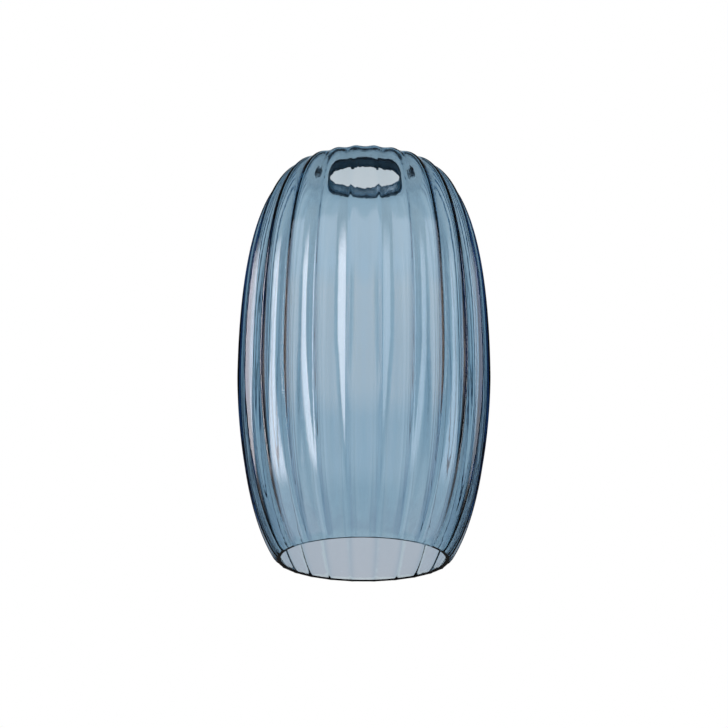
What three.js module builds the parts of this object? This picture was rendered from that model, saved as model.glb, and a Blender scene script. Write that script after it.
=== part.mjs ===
// Ribbed glass lampshade for a hanging lamp, in one piece.
//
// A barrel-shaped shell, open at its mouth, with narrow ridges that run from the mouth over the shoulder and
// concave flutes between them. The inside follows the flutes, so the wall is about 3 mm thick all over, and
// fades to a smooth circle at the mouth. The flat top has a fitter hole for the lampholder, and the glass is
// thicker around it, as a short collar on the inside.
// Millimetres, +Z up. The shade stands on its mouth rim, with the origin at the centre of the rim.

import * as THREE from "three";
import { mergeVertices } from "three/addons/utils/BufferGeometryUtils.js";

// Overall size
const HEIGHT = 230;
const WIDTH = 140.4; // across the ridges on either side of the X axis, at the belly
const MOUTH_WIDTH = 94.8; // the same, at the mouth rim
const BELLY_HEIGHT = 104; // height of the widest section

// Shape of the barrel's side
const FLARE_ANGLE = THREE.MathUtils.degToRad(34.3); // lean of the wall from vertical at the mouth
const FLARE_REACH = 37.2; // how far up the wall the lean at the mouth holds sway
const BELLY_EASE = 9.7; // how far below the belly the wall is already nearly vertical
const SHOULDER_DROP = 10.4; // how far below the top the upright pull of the wall ends
const SHOULDER_LEAD = 8.2; // how far outside the top land the dome starts to bend down
const LAND_RADIUS = 34.5; // of the flat top

// Wall, measured under a ridge
const MOUTH_WALL = 3.2;
const BELLY_WALL = 3.6;
const TOP_WALL = 3;
const INNER_CROWN_RADIUS = 33; // where the underside of the top turns flat
const INNER_SHOULDER_DROP = 9;
const INNER_SHOULDER_LEAD = 8;

// Fitter hole and the thicker collar around it
const FITTER_HOLE_RADIUS = 21;
const COLLAR_RADIUS = 24;
const COLLAR_HEIGHT = 6.7; // from the top of the shade down to the foot of the collar
const COLLAR_FILLET = 1.6;

// Ridges and flutes
const RIDGE_COUNT = 24;
const OUTER_FLUTE = { atBelly: 3.2, atMouth: 0.55, dip: 2, rounding: 0.1 };
const INNER_FLUTE = { atBelly: 2.6, atMouth: 0, dip: 1.4, rounding: 0.45 };
// atBelly and atMouth are a flute's depth below the ridges, dip is how much lower than a ridge it heads as it
// leaves the flat top, and rounding is that of a ridge's crest, as a share of half a pitch.

// Fineness of the facets
const COLUMNS_PER_RIDGE = 5;
const OUTER_STEPS = { lower: 6, upper: 10 };
const INNER_STEPS = { lower: 5, upper: 8 };

const HALF_PITCH = Math.PI / RIDGE_COUNT;
const ridgeRadius = (width) => width / 2 / Math.cos(HALF_PITCH);
const MOUTH_RADIUS = ridgeRadius(MOUTH_WIDTH);
const BELLY_RADIUS = ridgeRadius(WIDTH);

// One side of the barrel from the mouth to the top land, as points of radius and height: a curve from
// the mouth to the belly, and a curve from the belly over the shoulder to the land.
function barrelSide({ mouth, belly, land, top, drop, lead, dip, steps }) {
  const lower = new THREE.CubicBezierCurve(
    new THREE.Vector2(mouth, 0),
    new THREE.Vector2(mouth + FLARE_REACH * Math.sin(FLARE_ANGLE), FLARE_REACH * Math.cos(FLARE_ANGLE)),
    new THREE.Vector2(belly, BELLY_HEIGHT - BELLY_EASE),
    new THREE.Vector2(belly, BELLY_HEIGHT),
  );
  const upper = new THREE.CubicBezierCurve(
    new THREE.Vector2(belly, BELLY_HEIGHT),
    new THREE.Vector2(belly, top - drop),
    new THREE.Vector2(land + lead, top - dip),
    new THREE.Vector2(land, top),
  );
  return [...lower.getPoints(steps.lower), ...upper.getPoints(steps.upper).slice(1)];
}

// The two sides that a fluted surface swings between: along a ridge, and along the middle of a flute.
function flutedSides(shape, flute) {
  const crest = barrelSide({ ...shape, dip: 0 });
  const hollow = barrelSide({
    ...shape,
    mouth: shape.mouth - flute.atMouth,
    belly: shape.belly - flute.atBelly,
    dip: flute.dip,
  });
  return { crest, hollow };
}

const outer = flutedSides(
  {
    mouth: MOUTH_RADIUS,
    belly: BELLY_RADIUS,
    land: LAND_RADIUS,
    top: HEIGHT,
    drop: SHOULDER_DROP,
    lead: SHOULDER_LEAD,
    steps: OUTER_STEPS,
  },
  OUTER_FLUTE,
);

const inner = flutedSides(
  {
    mouth: MOUTH_RADIUS - MOUTH_WALL,
    belly: BELLY_RADIUS - BELLY_WALL,
    land: INNER_CROWN_RADIUS,
    top: HEIGHT - TOP_WALL,
    drop: INNER_SHOULDER_DROP,
    lead: INNER_SHOULDER_LEAD,
    steps: INNER_STEPS,
  },
  INNER_FLUTE,
);

// How deep the flute is at an angle from the nearest ridge: 0 on the crest, 1 midway between ridges.
function fluteShare(angle, rounding) {
  const away = Math.abs(angle) / HALF_PITCH;
  const rounded = Math.hypot(away, rounding) - rounding;
  const farthest = Math.hypot(1, rounding) - rounding;
  return 1 - (1 - rounded / farthest) ** 2;
}

// The wall of the fitter hole and the collar, from the top of the hole round to the underside of the top.
function collarSide() {
  const foot = HEIGHT - COLLAR_HEIGHT;
  return [
    new THREE.Vector2(FITTER_HOLE_RADIUS, HEIGHT),
    new THREE.Vector2(FITTER_HOLE_RADIUS, foot),
    new THREE.Vector2(COLLAR_RADIUS, foot),
    new THREE.Vector2(COLLAR_RADIUS, HEIGHT - TOP_WALL - COLLAR_FILLET),
    new THREE.Vector2(COLLAR_RADIUS + COLLAR_FILLET, HEIGHT - TOP_WALL),
  ];
}

// The section of the glass as a closed loop, on a ridge or along a flute: up the outside, across the flat
// top, down the wall of the fitter hole, round the collar, and down the inside back to the mouth rim.
function sectionLoop(outerSide, innerSide) {
  return [...outerSide, ...collarSide(), ...innerSide.toReversed(), outerSide[0].clone()];
}

// The section turned about the axis, swinging between its ridge form and its flute form.
function shadeGeometry() {
  const onCrest = sectionLoop(outer.crest, inner.crest);
  const onFlute = sectionLoop(outer.hollow, inner.hollow);
  const innerFrom = outer.crest.length + collarSide().length;
  const columns = RIDGE_COUNT * COLUMNS_PER_RIDGE;
  const geometry = new THREE.LatheGeometry(onCrest, columns, HALF_PITCH);
  const position = geometry.getAttribute("position");
  const point = new THREE.Vector2();
  for (let column = 0; column <= columns; column += 1) {
    const fromRidge = (column + COLUMNS_PER_RIDGE / 2) % COLUMNS_PER_RIDGE - COLUMNS_PER_RIDGE / 2;
    const angle = (fromRidge / COLUMNS_PER_RIDGE) * 2 * HALF_PITCH;
    const outerShare = fluteShare(angle, OUTER_FLUTE.rounding);
    const innerShare = fluteShare(angle, INNER_FLUTE.rounding);
    const turn = HALF_PITCH + (column / columns) * 2 * Math.PI;
    for (let row = 0; row < onCrest.length; row += 1) {
      const onInside = row >= innerFrom && row < onCrest.length - 1; // the last point is the first again
      point.lerpVectors(onCrest[row], onFlute[row], onInside ? innerShare : outerShare);
      const index = column * onCrest.length + row;
      position.setXYZ(index, point.x * Math.sin(turn), point.y, point.x * Math.cos(turn));
    }
  }
  geometry.deleteAttribute("normal");
  geometry.deleteAttribute("uv");
  const closed = mergeVertices(geometry, 1e-4);
  closed.rotateX(Math.PI / 2);
  closed.computeVertexNormals();
  return closed;
}

const smokeBlueGlass = new THREE.MeshStandardMaterial({
  color: 0x8fb0c8,
  roughness: 0.05,
  metalness: 0,
  transparent: true,
  opacity: 0.45,
});

const shade = new THREE.Mesh(shadeGeometry(), smokeBlueGlass);
shade.name = "glass_shade";

const lampshade = new THREE.Group();
lampshade.name = "ribbed_glass_lampshade";
lampshade.add(shade);

export default lampshade;
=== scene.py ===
"""Looks of the ribbed smoke-blue glass lampshade: its fine glass shell, material, studio light and camera.

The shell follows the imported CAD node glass_shade and stands for it. Metres, +Z up, origin at the centre of
the mouth rim, as in the frame.
"""

import math

import bpy
import numpy as np
from mathutils import Matrix, Vector


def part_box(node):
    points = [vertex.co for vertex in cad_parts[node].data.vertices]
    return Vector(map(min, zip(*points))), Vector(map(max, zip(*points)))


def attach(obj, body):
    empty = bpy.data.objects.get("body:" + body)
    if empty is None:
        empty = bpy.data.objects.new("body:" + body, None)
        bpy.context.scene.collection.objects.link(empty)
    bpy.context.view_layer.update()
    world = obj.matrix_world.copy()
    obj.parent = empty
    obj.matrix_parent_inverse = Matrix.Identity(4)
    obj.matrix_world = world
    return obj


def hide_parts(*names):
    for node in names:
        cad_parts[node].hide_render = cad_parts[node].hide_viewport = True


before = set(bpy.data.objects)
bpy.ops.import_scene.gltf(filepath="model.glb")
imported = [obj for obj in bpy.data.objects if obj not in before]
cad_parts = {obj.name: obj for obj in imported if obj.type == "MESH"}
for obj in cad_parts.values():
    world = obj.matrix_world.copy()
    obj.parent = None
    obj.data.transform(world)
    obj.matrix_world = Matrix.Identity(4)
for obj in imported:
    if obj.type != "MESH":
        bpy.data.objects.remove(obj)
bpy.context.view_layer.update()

SHADE = "glass_shade"
SLOT = "smoke_blue_glass"
MM = 0.001
SEED = 7

low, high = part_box(SHADE)
HEIGHT = high.z - low.z
SKIN = 0.1 * MM  # how far the fine shell stays inside the CAD shell
WIDTH = high.x - low.x - 2 * SKIN

# The barrel's outside, as in the CAD model
MOUTH_WIDTH = 94.8 * MM
BELLY_HEIGHT = 104 * MM
FLARE_ANGLE = math.radians(34.3)  # lean of the wall from vertical at the mouth
FLARE_REACH = 37.2 * MM  # how far up the wall the lean at the mouth holds sway
BELLY_EASE = 9.7 * MM  # how far below the belly the wall is already nearly vertical
SHOULDER_DROP = 10.4 * MM  # how far below the top the upright pull of the wall ends
SHOULDER_LEAD = 8.2 * MM  # how far outside the top land the dome starts to bend down
LAND_RADIUS = 34.5 * MM  # of the flat top
RIDGE_COUNT = 24
FLUTE_DEPTH_BELLY = 3.2 * MM
FLUTE_DEPTH_MOUTH = 0.55 * MM
FLUTE_DIP = 2.0 * MM  # how much lower than a ridge a flute heads as it leaves the flat top

HALF_PITCH = math.pi / RIDGE_COUNT
MOUTH_RADIUS = MOUTH_WIDTH / 2 / math.cos(HALF_PITCH)
BELLY_RADIUS = WIDTH / 2 / math.cos(HALF_PITCH)

# Shape of the ridges at heights from the mouth to the top, where the CAD model has one shape all the way:
# the rounding of the crest, as a share of half a pitch, and the fullness of the flute, whose sides it steepens
RIB_HEIGHTS = np.array([0, 25, 60, 104, 185, 230]) * MM
CREST_ROUNDING = [0.08, 0.12, 0.12, 0.10, 0.16, 0.50]
FLUTE_FULLNESS = [5.0, 4.2, 3.0, 2.0, 2.0, 2.0]

# The inside of the wall, as in the CAD model
MOUTH_WALL = 3.2 * MM
BELLY_WALL = 3.6 * MM
CROWN_RADIUS = 33 * MM  # where the underside of the top turns flat
INNER_SHOULDER_DROP = 9 * MM
INNER_SHOULDER_LEAD = 8 * MM
INNER_FLUTE_DEPTH_BELLY = 2.6 * MM
INNER_FLUTE_DIP = 1.4 * MM
INNER_ROUNDING = 0.45
INNER_FULLNESS = 2.0

# The top plate and the dome's wall, thinner than in the CAD model
PLATE_THICKNESS = 2.0 * MM
DOME_WALL = 2.4 * MM
PARALLEL_FROM = 120 * MM  # height from which the inside turns parallel to the outside
PARALLEL_REACH = 75 * MM  # how far up it takes to do so
DOME_FLUTE_SHARE = 0.95  # depth of a flute on the dome's inside, as a share of its depth on the outside

# Slow waves on the inside
WAVE_HEIGHT = 0.1 * MM
WAVE_COUNT = 14
MOST_LOBES = 10
WAVE_EASE = 30 * MM  # how far it takes them to die out, towards the mouth and the top
WAVE_HEADROOM = 12 * MM  # below the top, where there are none

# Fitter hole, collar and edges
HOLE_RADIUS = 21 * MM
COLLAR_RADIUS = 24 * MM
COLLAR_HEIGHT = 6.7 * MM  # from the top of the shade down to the foot of the collar
COLLAR_FILLET = 1.6 * MM
COLLAR_BEAD = 0.6 * MM  # rounding of the collar's foot
RIM_BEVEL = 0.45 * MM
LAND_MARGIN = 0.5 * MM  # of the flat top, kept flat next to the dome
GRIND_DEPTH = 0.12 * MM
CHIP_WIDTH = 1.7 * MM  # of a wide chip, outwards from the wall of the hole
CHIP_STEEPNESS = 0.8  # how far a chip reaches along the wall, as a share of its width
LEAST_CHIP = 0.1 * MM
SOUND_MARGIN = 0.4 * MM  # from the widest chips to the unbroken glass
CHIP_COUNT = 150
PATCH_COUNT = 24  # of patches with larger and smaller chips

# Fineness of the visual mesh
COLUMNS_PER_RIDGE = 24
COLUMN_CROWDING = 1.7  # towards the ridges
OUTER_ROWS = (44, 84)
INNER_ROWS = (36, 68)
WALL_ROWS = 6
CORNER_ROWS = 5
SHARP_ANGLE = math.radians(40)

# Glass, ground on the wall of the fitter hole, where shade is painted in as dark tints of the ground glass's
# grain
# The frost also sets the painted shade on the wall: the fuller the frost, the darker its grain is tinted
WALL_FROST_AND_SHADE = [1, 1, 0.6, 0.3, 0.3, 0.45, 1, 1]  # from the upper lip down the wall to the lower lip
CLOUDED_FROM = 0.3  # frost from which the glass is as unclear as it gets
GROUND_CLARITY = 0.12
GROUND_ROUGHNESS = 0.5
GLASS_IOR = 1.5
ABSORB_COLOR = (0.146, 0.503, 0.695, 1)
ABSORB_DENSITY = 300
GRAIN_SCALE = 2200
# Painted shade on the ground wall of the hole: dark tints of the frost at some levels of its grain
GRAIN_SHADE_TINTS = {0.06: (0.10, 0.22, 0.30, 1), 0.25: (0.04, 0.13, 0.21, 1), 0.62: (0.022, 0.065, 0.10, 1)}
SWELL_SCALE = 110
SWELL_STRETCH = 0.5  # of the scale along the height, which draws the swelling out
SWELL_DETAIL = 3
RELIEF_HEIGHT = 0.11 * MM  # of the swelling
GRAIN_RELIEF = 3  # as a multiple of the height of the swelling

# Camera, fitted to the outline of the shade in the photo, and a floor far below
SENSOR_WIDTH = 36  # in millimetres, like the lens
LENS = 118.3
CAMERA_DISTANCE = 1.2584  # from the axis, in plan
CAMERA_PITCH = math.radians(19.76)
CAMERA_ROLL = 0.0046
AIM_DROP = 2.1 * MM  # how far below the middle of the shade the camera looks
FLOOR_HALF = 6.0
FLOOR_DEPTH = -1.2
FLOOR_COLOR = (0.92, 0.92, 0.92, 1)
FLOOR_ROUGHNESS = 0.7

# The studio: soft light panels. A panel is its azimuth and half width, its elevation and half height, and
# the width of its soft edge, all in degrees, and then its brightness. Azimuth 0 is behind the shade, and +90
# to its right. A later panel covers an earlier one. Those behind are seen through the glass, and those
# reflected are seen in its surface.
SCREEN = (0.8, 0.78, 0.77)
BEHIND = [
    (0, 180, -90, 32, 8, (0.7, 0.7, 0.7)),  # ground, straight below
    *[(turn, 17, -24, 20, 5, SCREEN) for turn in (45, 90, 135, 225, 270, 315)],  # low screens
    (-90, 26, 8, 16, 5, SCREEN),  # left screen
    (90, 26, 8, 16, 5, SCREEN),  # right screen
    (180, 30, 16, 26, 14, (0.8, 0.8, 0.8)),  # front screen
    (0, 70, 34, 16, 8, (0.55, 0.56, 0.57)),  # wings of the backdrop
    (0, 29, 14, 32, 7, (1.03, 0.90, 0.85)),  # backdrop
    (0, 40, 12.2, 4, 1.8, (0.87, 0.74, 0.73)),  # dim band of the backdrop
]
REFLECTED = [
    (0, 15, 24, 16, 6, (0.32, 0.38, 0.44)),  # backdrop
    (180, 50, 4, 18, 14, (1.1, 1.1, 1.2)),  # foot of the front fill
    (180, 45, 19, 11, 8, (2.8, 2.4, 2.2)),  # front fill
    (180, 50, 35, 7, 5, (2.0, 2.2, 2.6)),  # upper front fill
    (180, 60, 45, 4, 3, (0.3, 0.5, 0.7)),  # top of the front fill
    (-100, 20, -20, 20, 8, (1.3, 1.25, 1.3)),  # foot of the left strip light
    (101, 20, -20, 20, 8, (1.0, 1.0, 1.0)),  # foot of the right strip light
    (-103, 14, 15, 17, 8, (8.2, 8.0, 8.5)),  # left strip light
    (101, 14, 15, 17, 8, (2.9, 3.2, 3.6)),  # right strip light
]
DARK = (0.05, 0.05, 0.05)
WHITE = (1.0, 1.0, 1.0)


def bezier(corners, rows):
    """Points of a cubic curve through its four control points, as an array of radius and height."""
    t = np.linspace(0, 1, rows + 1)[:, None]
    p = np.array(corners)
    return (1 - t) ** 3 * p[0] + 3 * (1 - t) ** 2 * t * p[1] + 3 * (1 - t) * t**2 * p[2] + t**3 * p[3]


def barrel_side(mouth, belly, land, top, drop, lead, dip, rows):
    """One side of the barrel from the mouth, over the belly and the shoulder, to the top land."""
    flare = (mouth + FLARE_REACH * math.sin(FLARE_ANGLE), FLARE_REACH * math.cos(FLARE_ANGLE))
    widest = (belly, BELLY_HEIGHT)
    lower = bezier([(mouth, 0), flare, (belly, BELLY_HEIGHT - BELLY_EASE), widest], rows[0])
    upper = bezier([widest, (belly, top - drop), (land + lead, top - dip), (land, top)], rows[1])
    return np.vstack([lower, upper[1:]])


def column_turns():
    """Each column's angle about the axis, and its distance from the nearest ridge, in half pitches.

    The columns crowd towards the ridges, where the surface bends most."""
    half = COLUMNS_PER_RIDGE // 2
    away = (np.arange(half) / half) ** COLUMN_CROWDING
    one_pitch = np.concatenate([away, 2 - np.append(away[1:], 1)[::-1]])
    turn = HALF_PITCH * (1 + one_pitch[None, :] + 2 * np.arange(RIDGE_COUNT)[:, None]).ravel()
    return turn, np.tile(np.minimum(one_pitch, 2 - one_pitch), RIDGE_COUNT)


def flute_share(away, rounding, fullness):
    """How deep the flute is at a distance from the nearest ridge: 0 on the crest, 1 midway."""
    rounded = np.hypot(away, rounding) - rounding
    farthest = np.hypot(1, rounding) - rounding
    return 1 - (1 - rounded / farthest) ** fullness


def surface(on_crest, on_flute, share):
    """Radius and height over rows and columns, between the side on a ridge and the side along a flute."""
    return on_crest[:, None, :] + (on_flute - on_crest)[:, None, :] * share[:, :, None]


def outer_surface(away, rows):
    """The outside, from the mouth up to the edge of the flat top."""
    shape = (LAND_RADIUS, HEIGHT, SHOULDER_DROP, SHOULDER_LEAD)
    mouth = MOUTH_RADIUS - FLUTE_DEPTH_MOUTH
    belly = BELLY_RADIUS - FLUTE_DEPTH_BELLY
    crest = barrel_side(MOUTH_RADIUS, BELLY_RADIUS, *shape, 0, rows)
    flute = barrel_side(mouth, belly, *shape, FLUTE_DIP, rows)
    rounding = np.interp(crest[:, 1], RIB_HEIGHTS, CREST_ROUNDING)[:, None]
    fullness = np.interp(crest[:, 1], RIB_HEIGHTS, FLUTE_FULLNESS)[:, None]
    return surface(crest, flute, flute_share(away[None, :], rounding, fullness))


def inner_surface(away):
    """The inside, from the underside of the top down to the mouth. The dome's is parallel to its outside."""
    shape = (CROWN_RADIUS, HEIGHT - PLATE_THICKNESS, INNER_SHOULDER_DROP, INNER_SHOULDER_LEAD)
    mouth = MOUTH_RADIUS - MOUTH_WALL
    belly = BELLY_RADIUS - BELLY_WALL
    crest = barrel_side(mouth, belly, *shape, 0, INNER_ROWS)
    flute = barrel_side(mouth, belly - INNER_FLUTE_DEPTH_BELLY, *shape, INNER_FLUTE_DIP, INNER_ROWS)
    share = flute_share(away, INNER_ROUNDING, INNER_FULLNESS)
    inside = surface(crest, flute, np.tile(share, (len(crest), 1)))

    # The dome's flutes are a little shallower inside than outside, so that they don't act as lenses
    outside = outer_surface(away, INNER_ROWS)
    outside += (1 - DOME_FLUTE_SHARE) * (outside[:, :1] - outside)
    climb = np.gradient(outside, axis=0)
    climb /= np.linalg.norm(climb, axis=-1, keepdims=True)
    parallel = outside + DOME_WALL * np.stack([-climb[..., 1], climb[..., 0]], axis=-1)

    follow = np.clip((outside[..., 1:] - PARALLEL_FROM) / PARALLEL_REACH, 0, 1)
    return (inside + (parallel - inside) * follow**2 * (3 - 2 * follow))[::-1]


def collar_surface(columns):
    """The collar that hangs round the fitter hole, from its foot up to the underside of the plate."""
    foot = HEIGHT - COLLAR_HEIGHT
    under = HEIGHT - PLATE_THICKNESS
    turn = np.linspace(0, math.pi / 2, CORNER_ROWS)
    sine_left, cosine_left = 1 - np.sin(turn), 1 - np.cos(turn)
    bead = np.column_stack([COLLAR_RADIUS - COLLAR_BEAD * sine_left, foot + COLLAR_BEAD * cosine_left])
    fillet = np.column_stack([COLLAR_RADIUS + COLLAR_FILLET * cosine_left, under - COLLAR_FILLET * sine_left])
    side = np.vstack([bead, fillet])
    return np.repeat(side[:, None, :], columns, axis=1)


def waves(turn, height, random):
    """Slow uneven swelling over angle and height, mostly within 1 either way."""
    total = np.zeros(height.shape)
    for _ in range(WAVE_COUNT):
        lobes = random.integers(1, MOST_LOBES + 1)
        pitch = random.uniform(0.35, 1.0) * HEIGHT
        phase = random.uniform(0, 2 * math.pi, 2)
        total += np.sin(lobes * turn + phase[0]) * np.sin(2 * math.pi * height / pitch + phase[1])
    return total / math.sqrt(WAVE_COUNT)


def chips(turn, random):
    """The width of a jagged broken edge round the hole, from 0 to about 1."""
    lap = turn / (2 * math.pi) % 1

    def uneven(knots):
        return np.interp(lap * len(knots), np.arange(len(knots) + 1), np.append(knots, knots[0]))

    fine = uneven(random.random(CHIP_COUNT) ** 2.2)  # more small chips than large ones
    patch = uneven(random.random(PATCH_COUNT))
    return 0.65 * fine + 0.35 * patch * fine + 0.12 * patch


def hole_surface(turn, random):
    """The flat top, the ground wall of the fitter hole and the foot of the collar.

    The edges of the wall are chipped where the drill broke through."""
    under = HEIGHT - COLLAR_HEIGHT
    upper, lower = chips(turn, random), chips(turn, random)
    steps = np.linspace(0, 1, WALL_ROWS)[:, None]
    top = HEIGHT - CHIP_STEEPNESS * CHIP_WIDTH * upper
    bottom = under + CHIP_STEEPNESS * CHIP_WIDTH * lower
    wall_height = top + (bottom - top) * steps
    grind = random.uniform(0, GRIND_DEPTH, wall_height.shape) * np.sin(math.pi * steps) ** 0.5
    wall = np.stack([HOLE_RADIUS + grind, wall_height], axis=-1)

    def ring(radius, height):
        return np.stack([radius * np.ones(len(turn)), np.full(len(turn), height)], axis=-1)[None]

    sound = HOLE_RADIUS + CHIP_WIDTH + SOUND_MARGIN
    return np.concatenate([
        ring(LAND_RADIUS - LAND_MARGIN, HEIGHT),
        ring(sound, HEIGHT),
        ring(HOLE_RADIUS + LEAST_CHIP + CHIP_WIDTH * upper, HEIGHT),
        wall,
        ring(HOLE_RADIUS + LEAST_CHIP + CHIP_WIDTH * lower, under),
        ring(sound, under),
    ])


def shell_mesh():
    """The glass shell as a closed grid of rows round its section and columns round its axis."""
    random = np.random.default_rng(SEED)
    turn, away = column_turns()
    outer = outer_surface(away, OUTER_ROWS)
    hole = hole_surface(turn, random)
    collar = collar_surface(len(turn))
    inner = inner_surface(away)
    rise = inner[..., 1]
    settle = np.clip(rise / WAVE_EASE, 0, 1) * np.clip((HEIGHT - WAVE_HEADROOM - rise) / WAVE_EASE, 0, 1)
    inner[..., 0] += WAVE_HEIGHT * settle * waves(turn, rise, random)

    outer[0, :, 1] = RIM_BEVEL
    inner[-1, :, 1] = RIM_BEVEL
    rim_out = outer[0] - np.array([RIM_BEVEL, RIM_BEVEL])
    rim_in = inner[-1] + np.array([RIM_BEVEL, -RIM_BEVEL])
    section = np.concatenate([outer, hole, collar, inner, rim_in[None], rim_out[None]])
    radius, height = section[..., 0], section[..., 1]
    points = np.stack([radius * np.sin(turn), -radius * np.cos(turn), height], axis=-1)
    index = np.arange(radius.size).reshape(radius.shape)
    next_row = np.roll(index, -1, axis=0)
    faces = np.stack([index, np.roll(index, -1, axis=1), np.roll(next_row, -1, axis=1), next_row], axis=-1)
    mesh = bpy.data.meshes.new("ribbed_shell")
    mesh.from_pydata(points.reshape(-1, 3), [], faces.reshape(-1, 4))

    # Frost on the ground wall of the hole, which also sets how dark its painted shade is
    frost_and_shade = np.zeros(radius.shape)
    upper_lip = len(outer) + 2  # after the two rings of the flat top
    frost_and_shade[upper_lip:upper_lip + len(WALL_FROST_AND_SHADE)] = np.array(WALL_FROST_AND_SHADE)[:, None]
    mesh.attributes.new("frost_and_shade", "FLOAT", "POINT").data.foreach_set("value", frost_and_shade.ravel())
    mesh.validate()
    mesh.shade_smooth()
    mesh.set_sharp_from_angle(angle=SHARP_ANGLE)
    return mesh


def glass_material():
    """Glass that is bluer the thicker it is, and clear but where the mesh has frost, which is also painted
    dark as shade.
    """
    material = bpy.data.materials.new(SLOT)
    material.use_nodes = True
    tree = material.node_tree
    link = tree.links.new
    shader = tree.nodes["Principled BSDF"]
    shader.inputs["IOR"].default_value = GLASS_IOR
    place = tree.nodes.new("ShaderNodeTexCoord").outputs["Object"]
    frost_and_shade = tree.nodes.new("ShaderNodeAttribute")
    frost_and_shade.attribute_name = "frost_and_shade"

    # The frost is grainy, and its grain is tinted dark, which paints shade into the ground wall of the hole
    ground = tree.nodes.new("ShaderNodeTexNoise")
    ground.inputs["Scale"].default_value = GRAIN_SCALE
    link(place, ground.inputs["Vector"])
    grain = tree.nodes.new("ShaderNodeMath")
    grain.operation = "MULTIPLY"
    link(ground.outputs["Fac"], grain.inputs[0])
    link(frost_and_shade.outputs["Fac"], grain.inputs[1])
    shade_tint = tree.nodes.new("ShaderNodeValToRGB")
    stops = shade_tint.color_ramp.elements
    stops.remove(stops[1])
    stops[0].color = (1, 1, 1, 1)
    for position, color in GRAIN_SHADE_TINTS.items():
        stops.new(position).color = color
    link(grain.outputs["Value"], shade_tint.inputs["Fac"])
    link(shade_tint.outputs["Color"], shader.inputs["Base Color"])

    # It is rougher and less clear than the rest of the glass
    rough = tree.nodes.new("ShaderNodeMapRange")
    rough.inputs["To Min"].default_value = 0
    rough.inputs["To Max"].default_value = GROUND_ROUGHNESS
    link(frost_and_shade.outputs["Fac"], rough.inputs["Value"])
    link(rough.outputs["Result"], shader.inputs["Roughness"])
    clear = tree.nodes.new("ShaderNodeMapRange")
    clear.inputs["From Max"].default_value = CLOUDED_FROM
    clear.inputs["To Min"].default_value = 1
    clear.inputs["To Max"].default_value = GROUND_CLARITY
    link(frost_and_shade.outputs["Fac"], clear.inputs["Value"])
    link(clear.outputs["Result"], shader.inputs["Transmission Weight"])

    # Relief: a swelling all over, drawn out along the height, and the grain of the frost
    drawn = tree.nodes.new("ShaderNodeMapping")
    drawn.inputs["Scale"].default_value = (1, 1, SWELL_STRETCH)
    link(place, drawn.inputs["Vector"])
    swell = tree.nodes.new("ShaderNodeTexNoise")
    swell.inputs["Scale"].default_value = SWELL_SCALE
    swell.inputs["Detail"].default_value = SWELL_DETAIL
    link(drawn.outputs["Vector"], swell.inputs["Vector"])
    relief = tree.nodes.new("ShaderNodeMath")
    relief.operation = "MULTIPLY_ADD"
    relief.inputs[1].default_value = GRAIN_RELIEF
    link(grain.outputs["Value"], relief.inputs[0])
    link(swell.outputs["Fac"], relief.inputs[2])
    bump = tree.nodes.new("ShaderNodeBump")
    bump.inputs["Distance"].default_value = RELIEF_HEIGHT
    link(relief.outputs["Value"], bump.inputs["Height"])
    link(bump.outputs["Normal"], shader.inputs["Normal"])

    absorption = tree.nodes.new("ShaderNodeVolumeAbsorption")
    absorption.inputs["Color"].default_value = ABSORB_COLOR
    absorption.inputs["Density"].default_value = ABSORB_DENSITY
    link(absorption.outputs["Volume"], tree.nodes["Material Output"].inputs["Volume"])
    return material


def build_shade():
    shade = bpy.data.objects.new("ribbed_shell", shell_mesh())
    bpy.context.scene.collection.objects.link(shade)
    shade.data.materials.append(glass_material())
    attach(shade, "root")
    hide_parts(SHADE)


def build_floor():
    """A pale floor, which the glass doesn't show."""
    mesh = bpy.data.meshes.new("floor")
    half, depth = FLOOR_HALF, FLOOR_DEPTH
    corners = [(-half, -half, depth), (half, -half, depth), (half, half, depth), (-half, half, depth)]
    mesh.from_pydata(corners, [], [(0, 1, 2, 3)])
    floor = bpy.data.objects.new("floor", mesh)
    bpy.context.scene.collection.objects.link(floor)
    material = bpy.data.materials.new("pale_floor")
    material.use_nodes = True
    shader = material.node_tree.nodes["Principled BSDF"]
    shader.inputs["Base Color"].default_value = FLOOR_COLOR
    shader.inputs["Roughness"].default_value = FLOOR_ROUGHNESS
    mesh.materials.append(material)
    floor.visible_glossy = False
    floor.visible_transmission = False


def build_camera():
    data = bpy.data.cameras.new("camera")
    data.sensor_width = SENSOR_WIDTH
    data.lens = LENS
    camera = bpy.data.objects.new("camera", data)
    bpy.context.scene.collection.objects.link(camera)
    height = HEIGHT / 2 - CAMERA_DISTANCE * math.tan(CAMERA_PITCH)
    camera.location = (0, -CAMERA_DISTANCE, height)
    aim = Vector((0, 0, HEIGHT / 2 - AIM_DROP))
    look = (aim - camera.location).to_track_quat("-Z", "Y")
    camera.rotation_mode = "QUATERNION"
    camera.rotation_quaternion = look @ Matrix.Rotation(CAMERA_ROLL, 3, "Z").to_quaternion()
    bpy.context.scene.camera = camera


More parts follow.
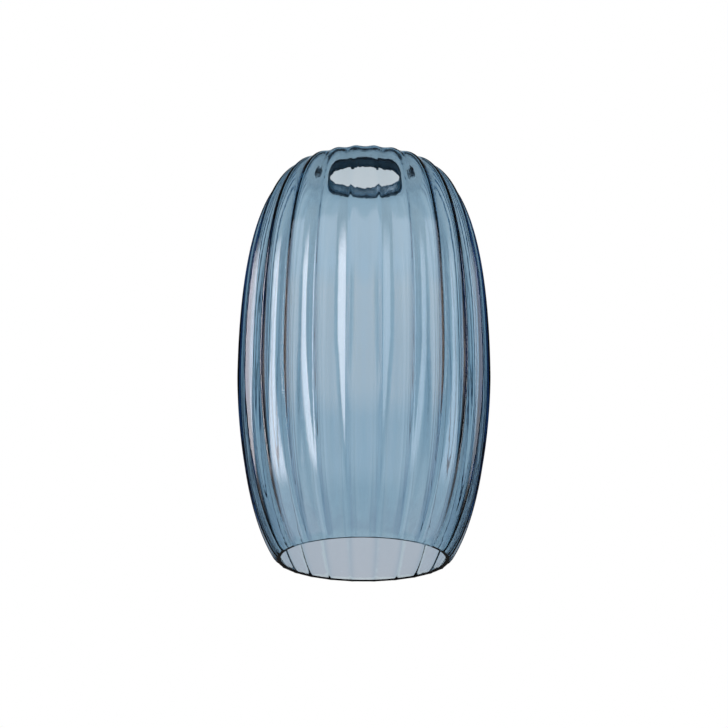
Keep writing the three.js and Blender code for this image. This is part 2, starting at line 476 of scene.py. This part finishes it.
def build_world():
    """The studio: plain white to the camera and on the floor, and light panels through and on the glass."""
    world = bpy.data.worlds.new("studio")
    bpy.context.scene.world = world
    world.use_nodes = True
    nodes, links = world.node_tree.nodes, world.node_tree.links

    def math_node(operation, *values):
        node = nodes.new("ShaderNodeMath")
        node.operation = operation
        for socket, value in zip(node.inputs, values):
            if isinstance(value, (int, float)):
                socket.default_value = value
            else:
                links.new(value, socket)
        return node.outputs[0]

    def window(value, half, edge):
        """1 where a value lies within half of 0, fading to 0 over an edge."""
        node = nodes.new("ShaderNodeMapRange")
        node.interpolation_type = "SMOOTHSTEP"
        links.new(math_node("ABSOLUTE", value), node.inputs["Value"])
        node.inputs["From Min"].default_value = half - edge / 2
        node.inputs["From Max"].default_value = half + edge / 2
        node.inputs["To Min"].default_value = 1
        node.inputs["To Max"].default_value = 0
        return node.outputs["Result"]

    def blend(factor, a, b):
        node = nodes.new("ShaderNodeMix")
        node.data_type = "RGBA"
        links.new(factor, node.inputs["Factor"])
        for socket, value in ((node.inputs[6], a), (node.inputs[7], b)):
            if isinstance(value, tuple):
                socket.default_value = (*value, 1)
            else:
                links.new(value, socket)
        return node.outputs[2]

    direction = nodes.new("ShaderNodeSeparateXYZ")
    links.new(nodes.new("ShaderNodeTexCoord").outputs["Generated"], direction.inputs[0])
    x, y, z = direction.outputs
    azimuth = math_node("DEGREES", math_node("ARCTAN2", x, y))
    elevation = math_node("DEGREES", math_node("ARCSINE", z))

    def studio(panels):
        light = DARK
        for middle, half_width, rise, half_height, edge, color in panels:
            aside = math_node("WRAP", math_node("SUBTRACT", azimuth, middle), 180, -180)
            above = math_node("SUBTRACT", elevation, rise)
            across, along = window(aside, half_width, edge), window(above, half_height, edge)
            light = blend(math_node("MULTIPLY", across, along), light, color)
        return light

    path = nodes.new("ShaderNodeLightPath")
    in_glass = blend(path.outputs["Is Reflection Ray"], studio(BEHIND), studio(REFLECTED))
    plain = math_node("MAXIMUM", path.outputs["Is Camera Ray"], path.outputs["Is Diffuse Ray"])
    links.new(blend(plain, in_glass, WHITE), nodes["Background"].inputs["Color"])
    bpy.context.scene.view_settings.view_transform = "Standard"


build_camera()
build_world()
build_floor()
build_shade()
